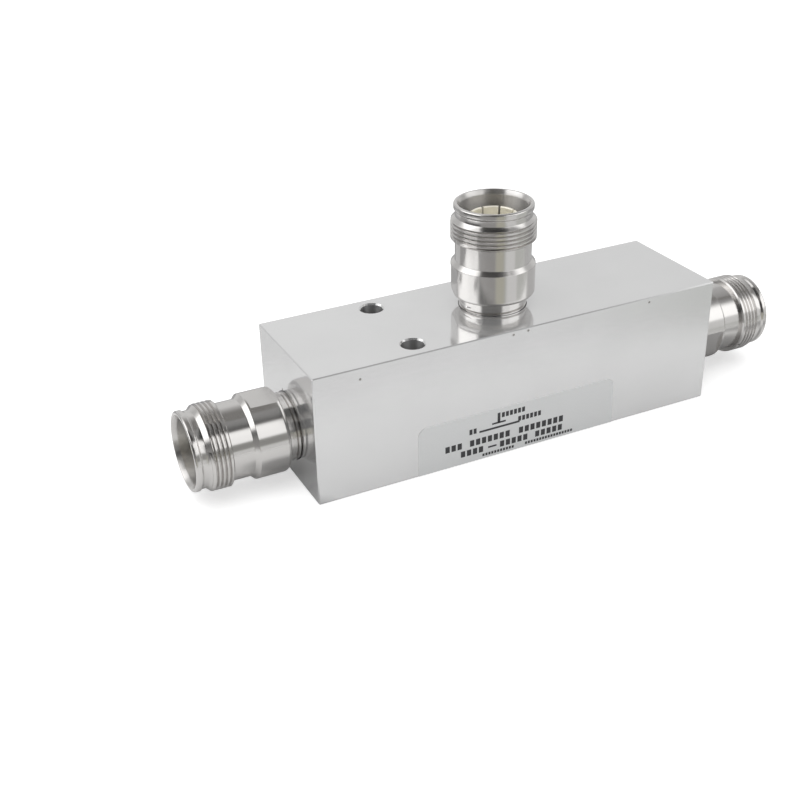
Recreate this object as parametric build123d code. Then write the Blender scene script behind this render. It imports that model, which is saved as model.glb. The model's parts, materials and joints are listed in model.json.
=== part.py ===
from build123d import *
from math import radians, tan
import os

# A power tapper for coaxial lines: a square aluminium bar with an input connector on its left
# end, an output connector on its right end and a tap connector in the middle of its top face.
# All sizes are millimetres. X runs along the bar, Z is up, and the origin is the middle of the
# bar's bottom face.

# The bar
bar_side = 31.75                 # inch and a quarter square stock
bar_length = 106.4
bar_edge_break = 0.25            # deburred outer edges
line_height = 12.7               # axis of the through line above the bottom face
line_bore_radius = 6.35          # half inch bore, and the tap bore that meets it
tap_place = 0.0                  # tap axis along X

# The two clearance holes that bolt the bar down
mount_hole_radius = 2.65
mount_hole_spacing = 21.6
mount_hole_place = -26.65        # along X
mount_hole_break = 0.35

# Small round dents that use has left, and where they lie
dent_radius = 0.45
dent_depth = 0.1
front_dents = ((-42.0, 2.7), (-3.6, 1.05), (0.3, 0.85), (34.0, 1.2))   # along X, below the top
left_dents = ((2.8, 20.6),)                                            # along Y, above the foot

# The film label on the front face
label_length = 53.4
label_height = 12.4
label_place = -1.5               # middle of the label along X
label_rise = 0.15                # its lower edge above the bottom face
label_corner = 2.2
label_thickness = 0.1

# Outside of a connector shell, from the bar outwards
spigot_length = 9.0              # screwed into the bar
neck_radius = 8.0
neck_length = 2.95
collar_radius = 9.94
collar_length = 7.9
collar_rear_round = 1.1
collar_ramp = 0.65
flat_distance = 9.3              # from the axis to a wrench flat
flat_ridge = 0.45                # ridge left in front of the flats
barrel_radius = 8.95
barrel_length = 5.1
thread_radius = 10.0             # M20 x 1
thread_length = 4.5
thread_rear_bevel = 0.3
groove_length = 1.25
lip_radius = 9.3
lip_length = 1.75
lip_taper = 0.5
lip_round = 0.45

# Inside of a connector shell
mouth_radius = 8.0
mouth_depth = 12.2
mouth_entry_radius = 8.5         # lead-in cone at the rim
mouth_entry_depth = 1.15
seat_radius = 6.4
seat_depth = 6.0
shell_bore_radius = 5.0

# Turn of the wrench flats about each axis, as the threads happened to stop
input_clock = -3.0
output_clock = 106.0
tap_clock = 163.0

# The slotted outer contact
basket_wall = 0.7
basket_base_length = 4.8
basket_recess = 3.0              # from the rim down to the tip
basket_bead = 0.12               # how far the contact bead at the tip stands out
basket_bead_length = 1.4
basket_slots = 8
basket_slot_width = 0.55
basket_slot_length = 7.0

# The insulator that carries the centre contact
insulator_rear_length = 3.0
insulator_front_length = 1.7
insulator_groove_depth = 0.9
insulator_groove_inner = 2.9
insulator_groove_outer = 4.2

# The slotted centre contact
contact_radius = 2.15
contact_recess = 5.8             # from the rim down to the tip
contact_bore_radius = 1.4
contact_bore_depth = 7.0
contact_slots = 4
contact_slot_width = 0.4
contact_slot_length = 6.0
contact_tip_bevel = 0.3
stem_radius = 1.25
stem_length = 3.5                # screwed into the line conductor

# The sealing ring in a groove of each spigot, just under the bar's face
seal_groove_root = 7.2           # radius at the groove's bottom
seal_setback = 0.2               # from the bar's face to the groove
port_mouth_gap = 0.15            # radial, plain mouth of the port that the ring seals in

# The inner conductors and the coupling between them
end_conductor_radius = 2.15
line_conductor_radius = 2.75
coupled_conductor_radius = 3.1
coupled_length = 34.0
bead_length = 4.0
bead_setback = 2.0               # from the port's floor to the bead
sleeve_wall = 0.6
sleeve_length = 30.0
saddle_wall = 1.4
saddle_length = 26.0
saddle_half_angle = 55.0
saddle_pad_drop = 0.35           # flat on top of the saddle, for the tap conductor
tap_stud_radius = 1.0
tap_stud_gap = 0.1

# Fits
thread_clearance = 0.04          # radial, spigot in its port
seat_clearance = 0.02            # radial, pieces pressed or slid into a bore

# Heights in a connector's own frame, where the bar's face is zero and outwards is up
collar_end = neck_length + collar_length
flat_end = collar_end - flat_ridge
barrel_start = collar_end + collar_ramp
thread_start = barrel_start + barrel_length
thread_end = thread_start + thread_length
groove_start = thread_end + thread_radius - barrel_radius
lip_start = groove_start + groove_length
rim = lip_start + lip_length
mouth_floor = rim - mouth_depth
seat_floor = mouth_floor - seat_depth
basket_base_start = mouth_floor - basket_base_length
basket_tip = rim - basket_recess
insulator_rear = seat_floor - insulator_rear_length
insulator_front = basket_base_start + insulator_front_length
contact_tip = rim - contact_recess
conductor_end = insulator_rear
port_floor = -spigot_length

# The sealing ring's section, and the groove that takes it
port_mouth_radius = neck_radius + port_mouth_gap
seal_section_radius = (port_mouth_radius - seal_groove_root) / 2 - seat_clearance
seal_groove_top = -seal_setback
seal_groove_bottom = seal_groove_top - 2 * (seal_section_radius + seat_clearance)

# Places along the line
half_bar = bar_length / 2
line_port_floor = half_bar + port_floor
tap_port_floor = bar_side + port_floor
saddle_inner = coupled_conductor_radius + sleeve_wall + 2 * seat_clearance
saddle_outer = saddle_inner + saddle_wall
saddle_top = saddle_outer - saddle_pad_drop


def port_frame(name, clock=0.0):
    """Frame of a port: its Z leaves the bar, and clock turns it about that axis."""
    frames = {
        "input": Plane(origin=(-half_bar, 0, line_height), x_dir=(0, 0, 1), z_dir=(-1, 0, 0)),
        "output": Plane(origin=(half_bar, 0, line_height), x_dir=(0, 0, 1), z_dir=(1, 0, 0)),
        "tap": Plane(origin=(tap_place, 0, bar_side), x_dir=(1, 0, 0), z_dir=(0, 0, 1)),
    }
    return Location(frames[name]) * Rot(0, 0, clock)


def turned(outline, rounds=()):
    """Solid turned about Z from (radius, height) points, with some corners rounded."""
    profile = make_face(Polyline(*outline, close=True))
    for corner, radius in rounds:
        vertex = profile.vertices().sort_by_distance((*corner, 0))[0]
        profile = fillet(vertex, radius)
    return revolve(Plane.XZ * profile, Axis.Z)


def rod(radius, start, end, bore=0.0):
    """Round bar or tube along Z between two heights."""
    length = end - start
    solid = Pos(0, 0, (start + end) / 2) * Cylinder(radius, length)
    if bore > 0:
        solid -= Pos(0, 0, (start + end) / 2) * Cylinder(bore, length)
    return solid


def radial_slots(count, width, reach, start, end):
    """Slots from the axis outwards, spread round it, as one cutter."""
    slot = Pos(reach / 2, 0, (start + end) / 2) * Box(reach, width, end - start)
    return Compound([Rot(0, 0, turn * 360 / count) * slot for turn in range(count)])


def port_cutter():
    """What one connector takes out of the bar: a threaded port with a plain mouth."""
    port = rod(neck_radius + thread_clearance, port_floor, 0)
    return port + rod(port_mouth_radius, seal_groove_bottom, 0)


def mount_hole_cutter():
    """One clearance hole down through the bar, with both of its edges broken."""
    radius, edge = mount_hole_radius, mount_hole_radius + mount_hole_break
    outline = [(0, 0), (edge, 0), (radius, mount_hole_break),
               (radius, bar_side - mount_hole_break), (edge, bar_side), (0, bar_side)]
    return turned(outline)


def dent_cutters():
    """Balls that each leave one shallow dent in the front face or in the left end face."""
    front, left = -bar_side / 2, -half_bar
    rise = dent_radius - dent_depth
    places = [(along, front - rise, bar_side - below) for along, below in front_dents]
    places += [(left - rise, across, above) for across, above in left_dents]
    return [Pos(*place) * Sphere(dent_radius) for place in places]


def make_housing():
    """The bar with its through bore, tap bore, three ports and two mounting holes."""
    bar = Pos(0, 0, bar_side / 2) * Box(bar_length, bar_side, bar_side)
    bar = chamfer(bar.edges(), bar_edge_break)
    bar -= Pos(0, 0, line_height) * Rot(0, 90, 0) * Cylinder(line_bore_radius, bar_length)
    bar -= Pos(tap_place, 0, 0) * rod(line_bore_radius, line_height, bar_side)
    for name in ("input", "output", "tap"):
        bar -= port_frame(name) * port_cutter()
    for side in (-1, 1):
        bar -= Pos(mount_hole_place, side * mount_hole_spacing / 2, 0) * mount_hole_cutter()
    for dent in dent_cutters():
        bar -= dent
    return bar


def make_shell():
    """Turned shell: spigot with its seal groove, neck, collar, barrel, thread land and lip."""
    outside = [
        (shell_bore_radius, port_floor),
        (neck_radius, port_floor),
        (neck_radius, seal_groove_bottom),
        (seal_groove_root, seal_groove_bottom),
        (seal_groove_root, seal_groove_top),
        (neck_radius, seal_groove_top),
        (neck_radius, neck_length),
        (collar_radius, neck_length),
        (collar_radius, collar_end),
        (barrel_radius, barrel_start),
        (barrel_radius, thread_start),
        (thread_radius - thread_rear_bevel, thread_start),
        (thread_radius, thread_start + thread_rear_bevel),
        (thread_radius, thread_end),
        (barrel_radius, groove_start),
        (barrel_radius, lip_start),
        (lip_radius, lip_start + lip_taper),
        (lip_radius, rim),
    ]
    inside = [
        (mouth_entry_radius, rim),
        (mouth_radius, rim - mouth_entry_depth),
        (mouth_radius, mouth_floor),
        (seat_radius, mouth_floor),
        (seat_radius, seat_floor),
        (shell_bore_radius, seat_floor),
    ]
    rounds = [((lip_radius, rim), lip_round), ((collar_radius, neck_length), collar_rear_round)]
    shell = turned(outside + inside, rounds)
    cut = collar_radius - flat_distance + 1
    for side in (-1, 1):
        place = Pos(side * (flat_distance + cut / 2), 0, flat_end / 2)
        shell -= place * Box(cut, 2 * collar_radius, flat_end)
    return shell


def make_outer_contact():
    """Spring basket: a ring pressed into the shell and a slotted sleeve with a bead at its tip."""
    bore = shell_bore_radius
    outer = bore + basket_wall
    ring = seat_radius - seat_clearance
    bead_mid = basket_tip - basket_bead_length / 2
    outline = [
        (bore, basket_base_start),
        (ring, basket_base_start),
        (ring, mouth_floor),
        (outer, mouth_floor),
        (outer, basket_tip - basket_bead_length),
        (outer + basket_bead, bead_mid),
        (outer + basket_bead / 2, basket_tip - basket_wall / 4),
        (outer - basket_wall / 4, basket_tip),
        (bore + basket_wall / 4, basket_tip),
        (bore, basket_tip - basket_wall / 4),
    ]
    slots = radial_slots(basket_slots, basket_slot_width, seat_radius,
                         basket_tip - basket_slot_length, rim)
    return turned(outline) - slots


def make_insulator():
    """Flanged bead held between the shell's step and the outer contact's ring."""
    hole = stem_radius + seat_clearance
    boss = shell_bore_radius - seat_clearance
    flange = seat_radius - seat_clearance
    groove_floor = insulator_front - insulator_groove_depth
    return turned([
        (hole, insulator_rear),
        (boss, insulator_rear),
        (boss, seat_floor),
        (flange, seat_floor),
        (flange, basket_base_start),
        (boss, basket_base_start),
        (boss, insulator_front),
        (insulator_groove_outer, insulator_front),
        (insulator_groove_outer, groove_floor),
        (insulator_groove_inner, groove_floor),
        (insulator_groove_inner, insulator_front),
        (hole, insulator_front),
    ])


def make_centre_contact():
    """Slotted socket with a stem that screws into the conductor behind the insulator."""
    bore_floor = contact_tip - contact_bore_depth
    outline = [
        (0, insulator_rear - stem_length),
        (stem_radius, insulator_rear - stem_length),
        (stem_radius, insulator_front),
        (contact_radius, insulator_front),
        (contact_radius, contact_tip - contact_tip_bevel),
        (contact_radius - contact_tip_bevel, contact_tip),
        (contact_bore_radius + contact_tip_bevel / 2, contact_tip),
        (contact_bore_radius, contact_tip - contact_tip_bevel),
        (contact_bore_radius, bore_floor),
        (0, bore_floor),
    ]
    slots = radial_slots(contact_slots, contact_slot_width, 2 * contact_radius,
                         contact_tip - contact_slot_length, rim)
    return turned(outline) - slots


def make_seal():
    """Round rubber ring in the spigot's groove, which seals in the port's mouth."""
    middle = (seal_groove_root + port_mouth_radius) / 2
    height = (seal_groove_top + seal_groove_bottom) / 2
    return Pos(0, 0, height) * Torus(middle, seal_section_radius)


def conductor_end_hole(end):
    """Blind hole that takes a centre contact's stem, below a conductor's end face."""
    return rod(stem_radius + seat_clearance, end - stem_length - 2 * seat_clearance, end)


def make_main_conductor():
    """Stepped rod along the bar, thicker where the tap couples to it."""
    end = half_bar + conductor_end
    along = turned([
        (0, -end), (end_conductor_radius, -end),
        (end_conductor_radius, -line_port_floor), (line_conductor_radius, -line_port_floor),
        (line_conductor_radius, -coupled_length / 2), (coupled_conductor_radius, -coupled_length / 2),
        (coupled_conductor_radius, coupled_length / 2), (line_conductor_radius, coupled_length / 2),
        (line_conductor_radius, line_port_floor), (end_conductor_radius, line_port_floor),
        (end_conductor_radius, end), (0, end),
    ])
    along -= conductor_end_hole(end)
    along -= Rot(180, 0, 0) * conductor_end_hole(end)
    return line_axis() * along


def line_axis():
    """Frame of the through line: its Z runs along the bar, at the tap's place."""
    return Pos(0, 0, line_height) * Rot(0, 90, 0)


def make_bead(side):
    """Support bead of the main conductor near one port."""
    far = line_port_floor - bead_setback
    disc = rod(line_bore_radius - seat_clearance, far - bead_length, far,
               line_conductor_radius + seat_clearance)
    return line_axis() * Rot(0, 0 if side > 0 else 180, 0) * disc


def make_coupling_sleeve():
    """Insulating sleeve that keeps the saddle off the main conductor."""
    inner = coupled_conductor_radius + seat_clearance
    sleeve = rod(inner + sleeve_wall, -sleeve_length / 2, sleeve_length / 2, inner)
    return Pos(tap_place, 0, 0) * line_axis() * sleeve


def make_coupling_saddle():
    """Part of a tube that lies on the sleeve, with a flat and a hole for the tap conductor."""
    half = saddle_length / 2
    width = 2 * saddle_outer
    spread = width * tan(radians(saddle_half_angle))
    section = make_face(Polyline((0, 0), (-spread, width), (spread, width), close=True))
    wedge = extrude(Plane.YZ * section, amount=half, both=True)
    tube = Rot(0, 90, 0) * rod(saddle_outer, -half, half, saddle_inner)
    saddle = tube & wedge
    saddle -= Pos(0, 0, saddle_top + saddle_outer) * Box(saddle_length, width, width)
    saddle -= rod(tap_stud_radius + seat_clearance, saddle_inner / 2, saddle_outer)
    return Pos(tap_place, 0, line_height) * saddle


def make_tap_conductor():
    """Stepped rod from the saddle up to the tap connector's insulator."""
    foot = line_height + saddle_top
    stud_end = line_height + saddle_inner + tap_stud_gap
    end = bar_side + conductor_end
    upright = turned([
        (0, stud_end), (tap_stud_radius, stud_end),
        (tap_stud_radius, foot), (line_conductor_radius, foot),
        (line_conductor_radius, tap_port_floor), (end_conductor_radius, tap_port_floor),
        (end_conductor_radius, end), (0, end),
    ])
    return Pos(tap_place, 0, 0) * (upright - conductor_end_hole(end))


def make_label():
    """Thin film label with rounded corners, stuck on the front face."""
    front = -bar_side / 2
    outline = RectangleRounded(label_length, label_height, label_corner)
    place = Plane(origin=(label_place, front, label_rise + label_height / 2),
                  x_dir=(1, 0, 0), z_dir=(0, -1, 0))
    return extrude(place * outline, amount=label_thickness)


def make_parts():
    """Every piece of the tapper, by its name."""
    parts = {"housing": make_housing(), "label": make_label()}
    clocks = {"input": input_clock, "output": output_clock, "tap": tap_clock}
    for name, clock in clocks.items():
        parts[f"{name}_shell"] = port_frame(name, clock) * make_shell()
        parts[f"{name}_outer_contact"] = port_frame(name) * make_outer_contact()
        parts[f"{name}_insulator"] = port_frame(name) * make_insulator()
        parts[f"{name}_centre_contact"] = port_frame(name) * make_centre_contact()
        parts[f"{name}_seal"] = port_frame(name) * make_seal()
    parts["main_conductor"] = make_main_conductor()
    parts["input_bead"] = make_bead(-1)
    parts["output_bead"] = make_bead(1)
    parts["coupling_sleeve"] = make_coupling_sleeve()
    parts["coupling_saddle"] = make_coupling_saddle()
    parts["tap_conductor"] = make_tap_conductor()
    return parts


os.makedirs("parts", exist_ok=True)
for node, solid in make_parts().items():
    export_step(solid, f"parts/{node}.step")
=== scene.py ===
import json
from math import ceil, pi, radians
from types import SimpleNamespace

import bmesh
import bpy
from mathutils import Matrix, Vector


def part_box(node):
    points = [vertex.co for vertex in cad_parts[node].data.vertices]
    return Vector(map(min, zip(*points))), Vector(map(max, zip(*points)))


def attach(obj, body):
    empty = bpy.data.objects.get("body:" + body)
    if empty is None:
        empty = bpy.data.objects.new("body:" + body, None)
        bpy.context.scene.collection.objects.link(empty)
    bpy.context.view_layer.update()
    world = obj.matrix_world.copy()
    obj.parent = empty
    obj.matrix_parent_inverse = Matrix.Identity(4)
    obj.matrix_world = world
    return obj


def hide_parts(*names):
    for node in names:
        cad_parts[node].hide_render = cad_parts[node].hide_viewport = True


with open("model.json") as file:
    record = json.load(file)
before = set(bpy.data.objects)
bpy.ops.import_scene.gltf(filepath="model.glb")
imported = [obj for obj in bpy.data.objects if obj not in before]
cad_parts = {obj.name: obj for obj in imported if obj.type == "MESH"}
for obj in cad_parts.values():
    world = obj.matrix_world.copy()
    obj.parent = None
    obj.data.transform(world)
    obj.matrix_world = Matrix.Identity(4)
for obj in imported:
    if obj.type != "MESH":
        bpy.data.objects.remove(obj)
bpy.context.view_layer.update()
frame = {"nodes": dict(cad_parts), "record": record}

bl_info = {
    "name": "Coaxial power tapper",
    "version": (1, 0, 0),
    "blender": (4, 5, 0),
    "location": "3D View > Sidebar > Tapper",
    "description": "Dresses a machined tapper bar with its three turned sockets and its label",
    "category": "Object",
}

BODY = "root"
PORTS = ("input", "output", "tap")
SEGMENTS = 192                   # facets round a turned surface and round one turn of a thread
GROUP = "tapper_"

# Small dents in the bar's front and left end, painted darker as painted shade, in millimetres: along
# that face, and above its foot
FRONT_DENTS = ((-42.0, 29.05), (-3.6, 30.7), (0.3, 30.9), (34.0, 30.55))
LEFT_DENTS = ((2.8, 20.6),)

# Rows of plain blocks in place of print, in millimetres: start and foot from the film's lower
# left corner, height, pitch and number of blocks
PRINT_ROWS = (
    (6.9, 4.15, 1.65, 1.6, 3), (13.4, 4.15, 1.65, 1.6, 7), (26.7, 4.15, 1.65, 1.6, 8),
    (11.0, 1.85, 1.6, 1.6, 4), (21.55, 1.85, 1.6, 1.6, 5), (31.3, 1.85, 1.6, 1.6, 5),
    (16.8, 0.6, 0.7, 0.8, 11), (28.5, 0.6, 0.7, 0.8, 17),
    (21.9, 9.8, 1.3, 1.1, 6), (26.4, 7.55, 1.3, 1.1, 6), (13.25, 7.35, 1.4, 1.1, 2),
)

# Printed strokes: start, foot, width and height, in millimetres, from the same corner
PRINT_STROKES = ((15.9, 7.2, 10.9, 0.52), (19.3, 8.45, 3.7, 0.44), (20.75, 8.45, 0.75, 2.8),
                 (18.3, 2.45, 2.3, 0.45))


def mm(value):
    """Millimetres as the metres that Blender works in."""
    return value / 1000


TOUCHING = mm(0.0005)            # points nearer than this are one
PAST = mm(1)                     # how far a cutter reaches past what it cuts
PRESS_GAP = mm(0.02)             # between the spring basket's ring and its seat
TIP_ROUND = mm(0.08)             # rounding of the contacts' edges


def size(name, description, millimetres):
    """A length that can be set in the panel."""
    return bpy.props.FloatProperty(
        name=name, description=description, default=mm(millimetres), unit="LENGTH", precision=5)


def turn(name, description, degrees):
    """An angle that can be set in the panel."""
    return bpy.props.FloatProperty(
        name=name, description=description, default=radians(degrees), subtype="ANGLE")


def amount(name, description, value):
    """A plain number that can be set in the panel."""
    return bpy.props.FloatProperty(name=name, description=description, default=value)


def linear(hex_colour):
    """An sRGB hex colour as linear red, green, blue and alpha."""
    channels = [int(hex_colour[k:k + 2], 16) / 255 for k in (1, 3, 5)]
    return tuple(c / 12.92 if c <= 0.04045 else ((c + 0.055) / 1.055) ** 2.4
                 for c in channels) + (1.0,)


def grey(level):
    """A neutral colour of one level."""
    return (level, level, level, 1)


def colour(name, description, hex_colour):
    """A colour that can be set in the panel."""
    return bpy.props.FloatVectorProperty(
        name=name, description=description, default=linear(hex_colour), subtype="COLOR",
        size=4, min=0.0, max=1.0)


class TapperPorts(bpy.types.PropertyGroup):
    """Where the three sockets stand on the bar, and how far each was screwed round."""
    line_height: size("Line height", "Axis of the through line above the bar's foot", 12.7)
    input_clock: turn("Input clock", "Turn of the input's wrench flats", -3)
    output_clock: turn("Output clock", "Turn of the output's wrench flats", 106)
    tap_clock: turn("Tap clock", "Turn of the tap's wrench flats", 163)


class TapperShell(bpy.types.PropertyGroup):
    """Sizes of one turned shell, from the bar's face outwards."""
    spigot_length: size("Spigot", "Length screwed into the bar", 9.0)
    neck_radius: size("Neck radius", "Over the thread on the neck", 8.0)
    neck_root: size("Neck root", "Under the thread on the neck", 7.5)
    neck_length: size("Neck length", "From the bar's face to the collar", 2.95)
    neck_thread: size("Neck thread", "How far the neck's thread shows", 1.5)
    seal_root: size("Seal groove root", "Under the seal, at the top of the spigot", 7.2)
    seal_top: size("Seal setback", "From the bar's face to the seal groove", 0.2)
    seal_bottom: size("Seal groove bottom", "From the bar's face to its far side", 1.15)
    collar_radius: size("Collar radius", "Round part of the collar", 9.94)
    collar_length: size("Collar length", "Collar with its wrench flats", 7.63)
    collar_round: size("Collar round", "Rounded rear shoulder", 1.1)
    collar_ramp: size("Collar ramp", "Bevel down to the barrel", 0.92)
    flat_distance: size("Flat distance", "From the axis to a wrench flat", 9.3)
    flat_ridge: size("Flat ridge", "Ridge left in front of the flats", 0.45)
    barrel_radius: size("Barrel radius", "Plain barrel behind the thread", 8.95)
    barrel_length: size("Barrel length", "Plain barrel behind the thread", 5.1)
    thread_radius: size("Thread radius", "Over the coupling thread", 10.0)
    thread_root: size("Thread root", "Under the coupling thread", 9.42)
    thread_length: size("Thread length", "Coupling thread at full height", 4.5)
    thread_bevel: size("Thread bevel", "Bevel at the thread's rear end", 0.3)
    pitch: size("Pitch", "Rise of a thread in one turn", 1.0)
    thread_gap: size("Thread gap", "Width of the thread's groove at its crest", 0.66)
    neck_gap: size("Neck gap", "Width of the neck's groove at its crest", 0.55)
    root_flat: size("Root flat", "Width of a thread's groove at its root", 0.08)
    groove_length: size("Groove", "Relief between thread and lip", 1.25)
    lip_radius: size("Lip radius", "Guide lip at the mouth", 9.3)
    lip_length: size("Lip length", "Guide lip at the mouth", 1.75)
    lip_taper: size("Lip taper", "Slope up to the lip", 0.5)
    lip_round: size("Lip round", "Rounded outer rim", 0.45)
    mouth_radius: size("Mouth radius", "Bore that takes the plug", 8.0)
    mouth_depth: size("Mouth depth", "Bore that takes the plug", 12.2)
    entry_radius: size("Entry radius", "Lead-in cone at the rim", 8.5)
    entry_depth: size("Entry depth", "Lead-in cone from the rim inwards", 1.15)
    seat_radius: size("Seat radius", "Bore that holds the spring basket", 6.4)
    seat_depth: size("Seat depth", "Bore that holds the spring basket", 6.0)
    bore_radius: size("Bore radius", "Line bore of the shell", 5.0)
    edge_round: size("Edge round", "How far turned edges are broken", 0.07)


class TapperContacts(bpy.types.PropertyGroup):
    """Sizes of the slotted spring basket and of the slotted centre socket."""
    basket_wall: size("Basket wall", "Wall of the spring basket", 0.7)
    basket_base: size("Basket ring", "Length of the ring pressed into the seat", 4.8)
    basket_recess: size("Basket recess", "From the rim down to the basket's tip", 3.0)
    basket_bead: size("Basket bead", "How far the contact bead stands out", 0.12)
    basket_bead_length: size("Bead length", "Length of the contact bead", 1.4)
    basket_slots: bpy.props.IntProperty(
        name="Basket slots", description="Slots round the basket, an even number", default=8, min=2)
    basket_slot_width: size("Basket slot", "Width of a slot in the basket", 0.55)
    basket_slot_length: size("Basket slot length", "Length of a slot in the basket", 7.0)
    insulator_rear: size("Insulator rear", "Insulator behind the seat", 3.0)
    insulator_front: size("Insulator front", "Insulator in front of the basket's ring", 1.7)
    centre_radius: size("Centre radius", "Outside of the centre socket", 2.15)
    centre_recess: size("Centre recess", "From the rim down to the socket's tip", 5.8)
    centre_bore: size("Centre bore", "Bore of the centre socket", 1.4)
    centre_bore_depth: size("Centre bore depth", "Bore of the centre socket", 7.0)
    centre_slots: bpy.props.IntProperty(
        name="Centre slots", description="Slots in the centre socket, an even number", default=4,
        min=2)
    centre_slot_width: size("Centre slot", "Width of a slot in the centre socket", 0.4)
    centre_slot_length: size("Centre slot length", "Length of a slot in it", 6.0)
    centre_tip_bevel: size("Centre tip", "Bevel at the centre socket's tip", 0.3)
    stem_radius: size("Stem radius", "Stem behind the centre socket", 1.25)
    stem_length: size("Stem length", "Stem screwed into the conductor", 3.5)


class TapperLabel(bpy.types.PropertyGroup):
    """Sizes of the film label on the front face, and of its plain print."""
    corner: size("Corner", "Rounded upper corners of the film", 2.2)
    ink_depth: size("Ink depth", "Thickness of the ink", 0.012)
    ink_share: amount("Ink share", "Share of a row's pitch that each block fills", 0.72)


class TapperFinish(bpy.types.PropertyGroup):
    """Colours of the surfaces."""
    bar: colour("Bar", "Fly-cut bright plated aluminium", "#E7E7E7")
    plating: colour("Shell plating", "White bronze on turned brass", "#D7D5D3")
    silver: colour("Contact plating", "Silver on spring brass", "#F6F2E4")
    conductor: colour("Conductors", "Satin plated brass rod", "#D9D0B4")
    insulator: colour("Insulators", "Turned white fluoroplastic", "#EFEFEA")
    rubber: colour("Seals", "Black moulded rubber", "#141414")
    film: colour("Label film", "Satin silver-grey film", "#DFE0E0")
    ink: colour("Label ink", "Black ink on the film", "#2A2A2C")
    # Painted shade: the darker colour painted into the dents
    dent_shade: colour("Dent_shade", "Dirt left in the dents", "#9A9894")
    drilled: colour("Drilled", "Drilled walls of the mounting holes", "#ACACAC")


class TapperStage(bpy.types.PropertyGroup):
    """The camera, and the light that the metal mirrors."""
    azimuth: turn("Azimuth", "Camera's turn round the object", -25.716)
    elevation: turn("Elevation", "Camera's height angle", 28.889)
    roll: turn("Roll", "Camera's tilt about its own axis", -1.374)
    camera_x: size("Camera X", "Camera's place along the bar", -135.77)
    camera_y: size("Camera Y", "Camera's place in front of the bar", -230.10)
    camera_z: size("Camera Z", "Camera's height above the floor", 152.70)
    lens: bpy.props.FloatProperty(
        name="Lens", description="Focal length for a 36 mm wide sensor", default=55.2,
        unit="CAMERA")
    room: amount("Room", "Level of the light on matt surfaces", 1.0)
    floor: amount("Floor", "Reflectance of the pale table that metal mirrors", 0.72)
    socket_shade: amount("Socket shade", "Share of the floor's light left under a socket", 0.52)
    softbox: amount("Softbox", "Level of the front softbox that metal mirrors", 1.28)
    wing: amount("Wing", "Level of the pale sheet high on the left, that metal mirrors", 0.95)
    ceiling: amount("Ceiling", "Level of the dark ceiling that metal mirrors", 0.23)
    back: amount("Back", "Level of the pale wall behind, that metal mirrors", 0.78)


def settings(group):
    """One of the scene's groups of sizes or colours."""
    return getattr(bpy.context.scene, GROUP + group)


def deselect():
    """Leaves nothing selected, so that an operator acts only on what is chosen next."""
    bpy.ops.object.select_all(action="DESELECT")


def choose(*objects):
    """Selects these objects alone and makes the first one active."""
    deselect()
    for obj in objects:
        obj.select_set(True)
    bpy.context.view_layer.objects.active = objects[0]


def edit(obj):
    """Goes into edit mode on one object, with all of it selected."""
    choose(obj)
    bpy.ops.object.mode_set(mode="EDIT")
    bpy.ops.mesh.select_mode(type="VERT")
    bpy.ops.mesh.select_all(action="SELECT")


def leave_edit():
    """Goes back to object mode."""
    bpy.ops.object.mode_set(mode="OBJECT")


def pick_vertices(obj, test):
    """Selects in edit mode the vertices whose place passes the test."""
    bpy.ops.mesh.select_all(action="DESELECT")
    mesh = bmesh.from_edit_mesh(obj.data)
    for vertex in mesh.verts:
        vertex.select = test(vertex.co)
    mesh.select_flush(True)
    bmesh.update_edit_mesh(obj.data)


def pick_edges(obj, test):
    """Selects in edit mode the edges whose two ends pass the test."""
    bpy.ops.mesh.select_mode(type="EDGE")
    bpy.ops.mesh.select_all(action="DESELECT")
    mesh = bmesh.from_edit_mesh(obj.data)
    for edge in mesh.edges:
        edge.select = test(*(vertex.co for vertex in edge.verts))
    bmesh.update_edit_mesh(obj.data)


def apply_modifier(obj, kind, **values):
    """Adds a modifier to an object and applies it."""
    choose(obj)
    modifier = obj.modifiers.new(kind.title(), kind)
    for name, value in values.items():
        setattr(modifier, name, value)
    bpy.ops.object.modifier_apply(modifier=modifier.name)


def copied(obj, name):
    """A copy of an object with its own mesh."""
    choose(obj)
    bpy.ops.object.duplicate(linked=False)
    made = bpy.context.object
    made.name = name
    made.data.name = name
    return made


def removed(*objects):
    """Deletes objects that were only needed for shaping others."""
    choose(*objects)
    bpy.ops.object.delete()


def traced(name, points):
    """A closed chain of edges through (radius, height) points in the XZ plane."""
    deselect()
    bpy.ops.mesh.primitive_plane_add(size=mm(1), location=(0, 0, 0))
    obj = bpy.context.object
    obj.name = name
    obj.data.name = name
    edit(obj)
    bpy.ops.mesh.merge(type="CENTER")
    bpy.ops.transform.translate(value=(points[0][0], 0, points[0][1]))
    for before, after in zip(points, points[1:]):
        step = (after[0] - before[0], 0, after[1] - before[1])
        bpy.ops.mesh.extrude_region_move(TRANSFORM_OT_translate={"value": step})
    first, last = (Vector((r, 0, h)) for r, h in (points[0], points[-1]))
    pick_vertices(obj, lambda co: min((co - first).length, (co - last).length) < TOUCHING)
    bpy.ops.mesh.edge_face_add()
    leave_edit()
    return obj


def round_corners(obj, corners, radius, segments):
    """Rounds the chain's corners that lie at these (radius, height) points."""
    places = [Vector((r, 0, h)) for r, h in corners]
    edit(obj)
    pick_vertices(obj, lambda co: any((co - place).length < TOUCHING for place in places))
    bpy.ops.mesh.bevel(offset=radius, segments=segments, affect="VERTICES", clamp_overlap=True)
    leave_edit()


def spun(obj):
    """Turns a closed chain of edges about Z into a solid."""
    edit(obj)
    bpy.ops.mesh.spin(steps=SEGMENTS, angle=2 * pi, center=(0, 0, 0), axis=(0, 0, 1))
    bpy.ops.mesh.select_all(action="SELECT")
    bpy.ops.mesh.remove_doubles(threshold=TOUCHING)
    bpy.ops.mesh.normals_make_consistent(inside=False)
    leave_edit()
    return obj


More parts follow.
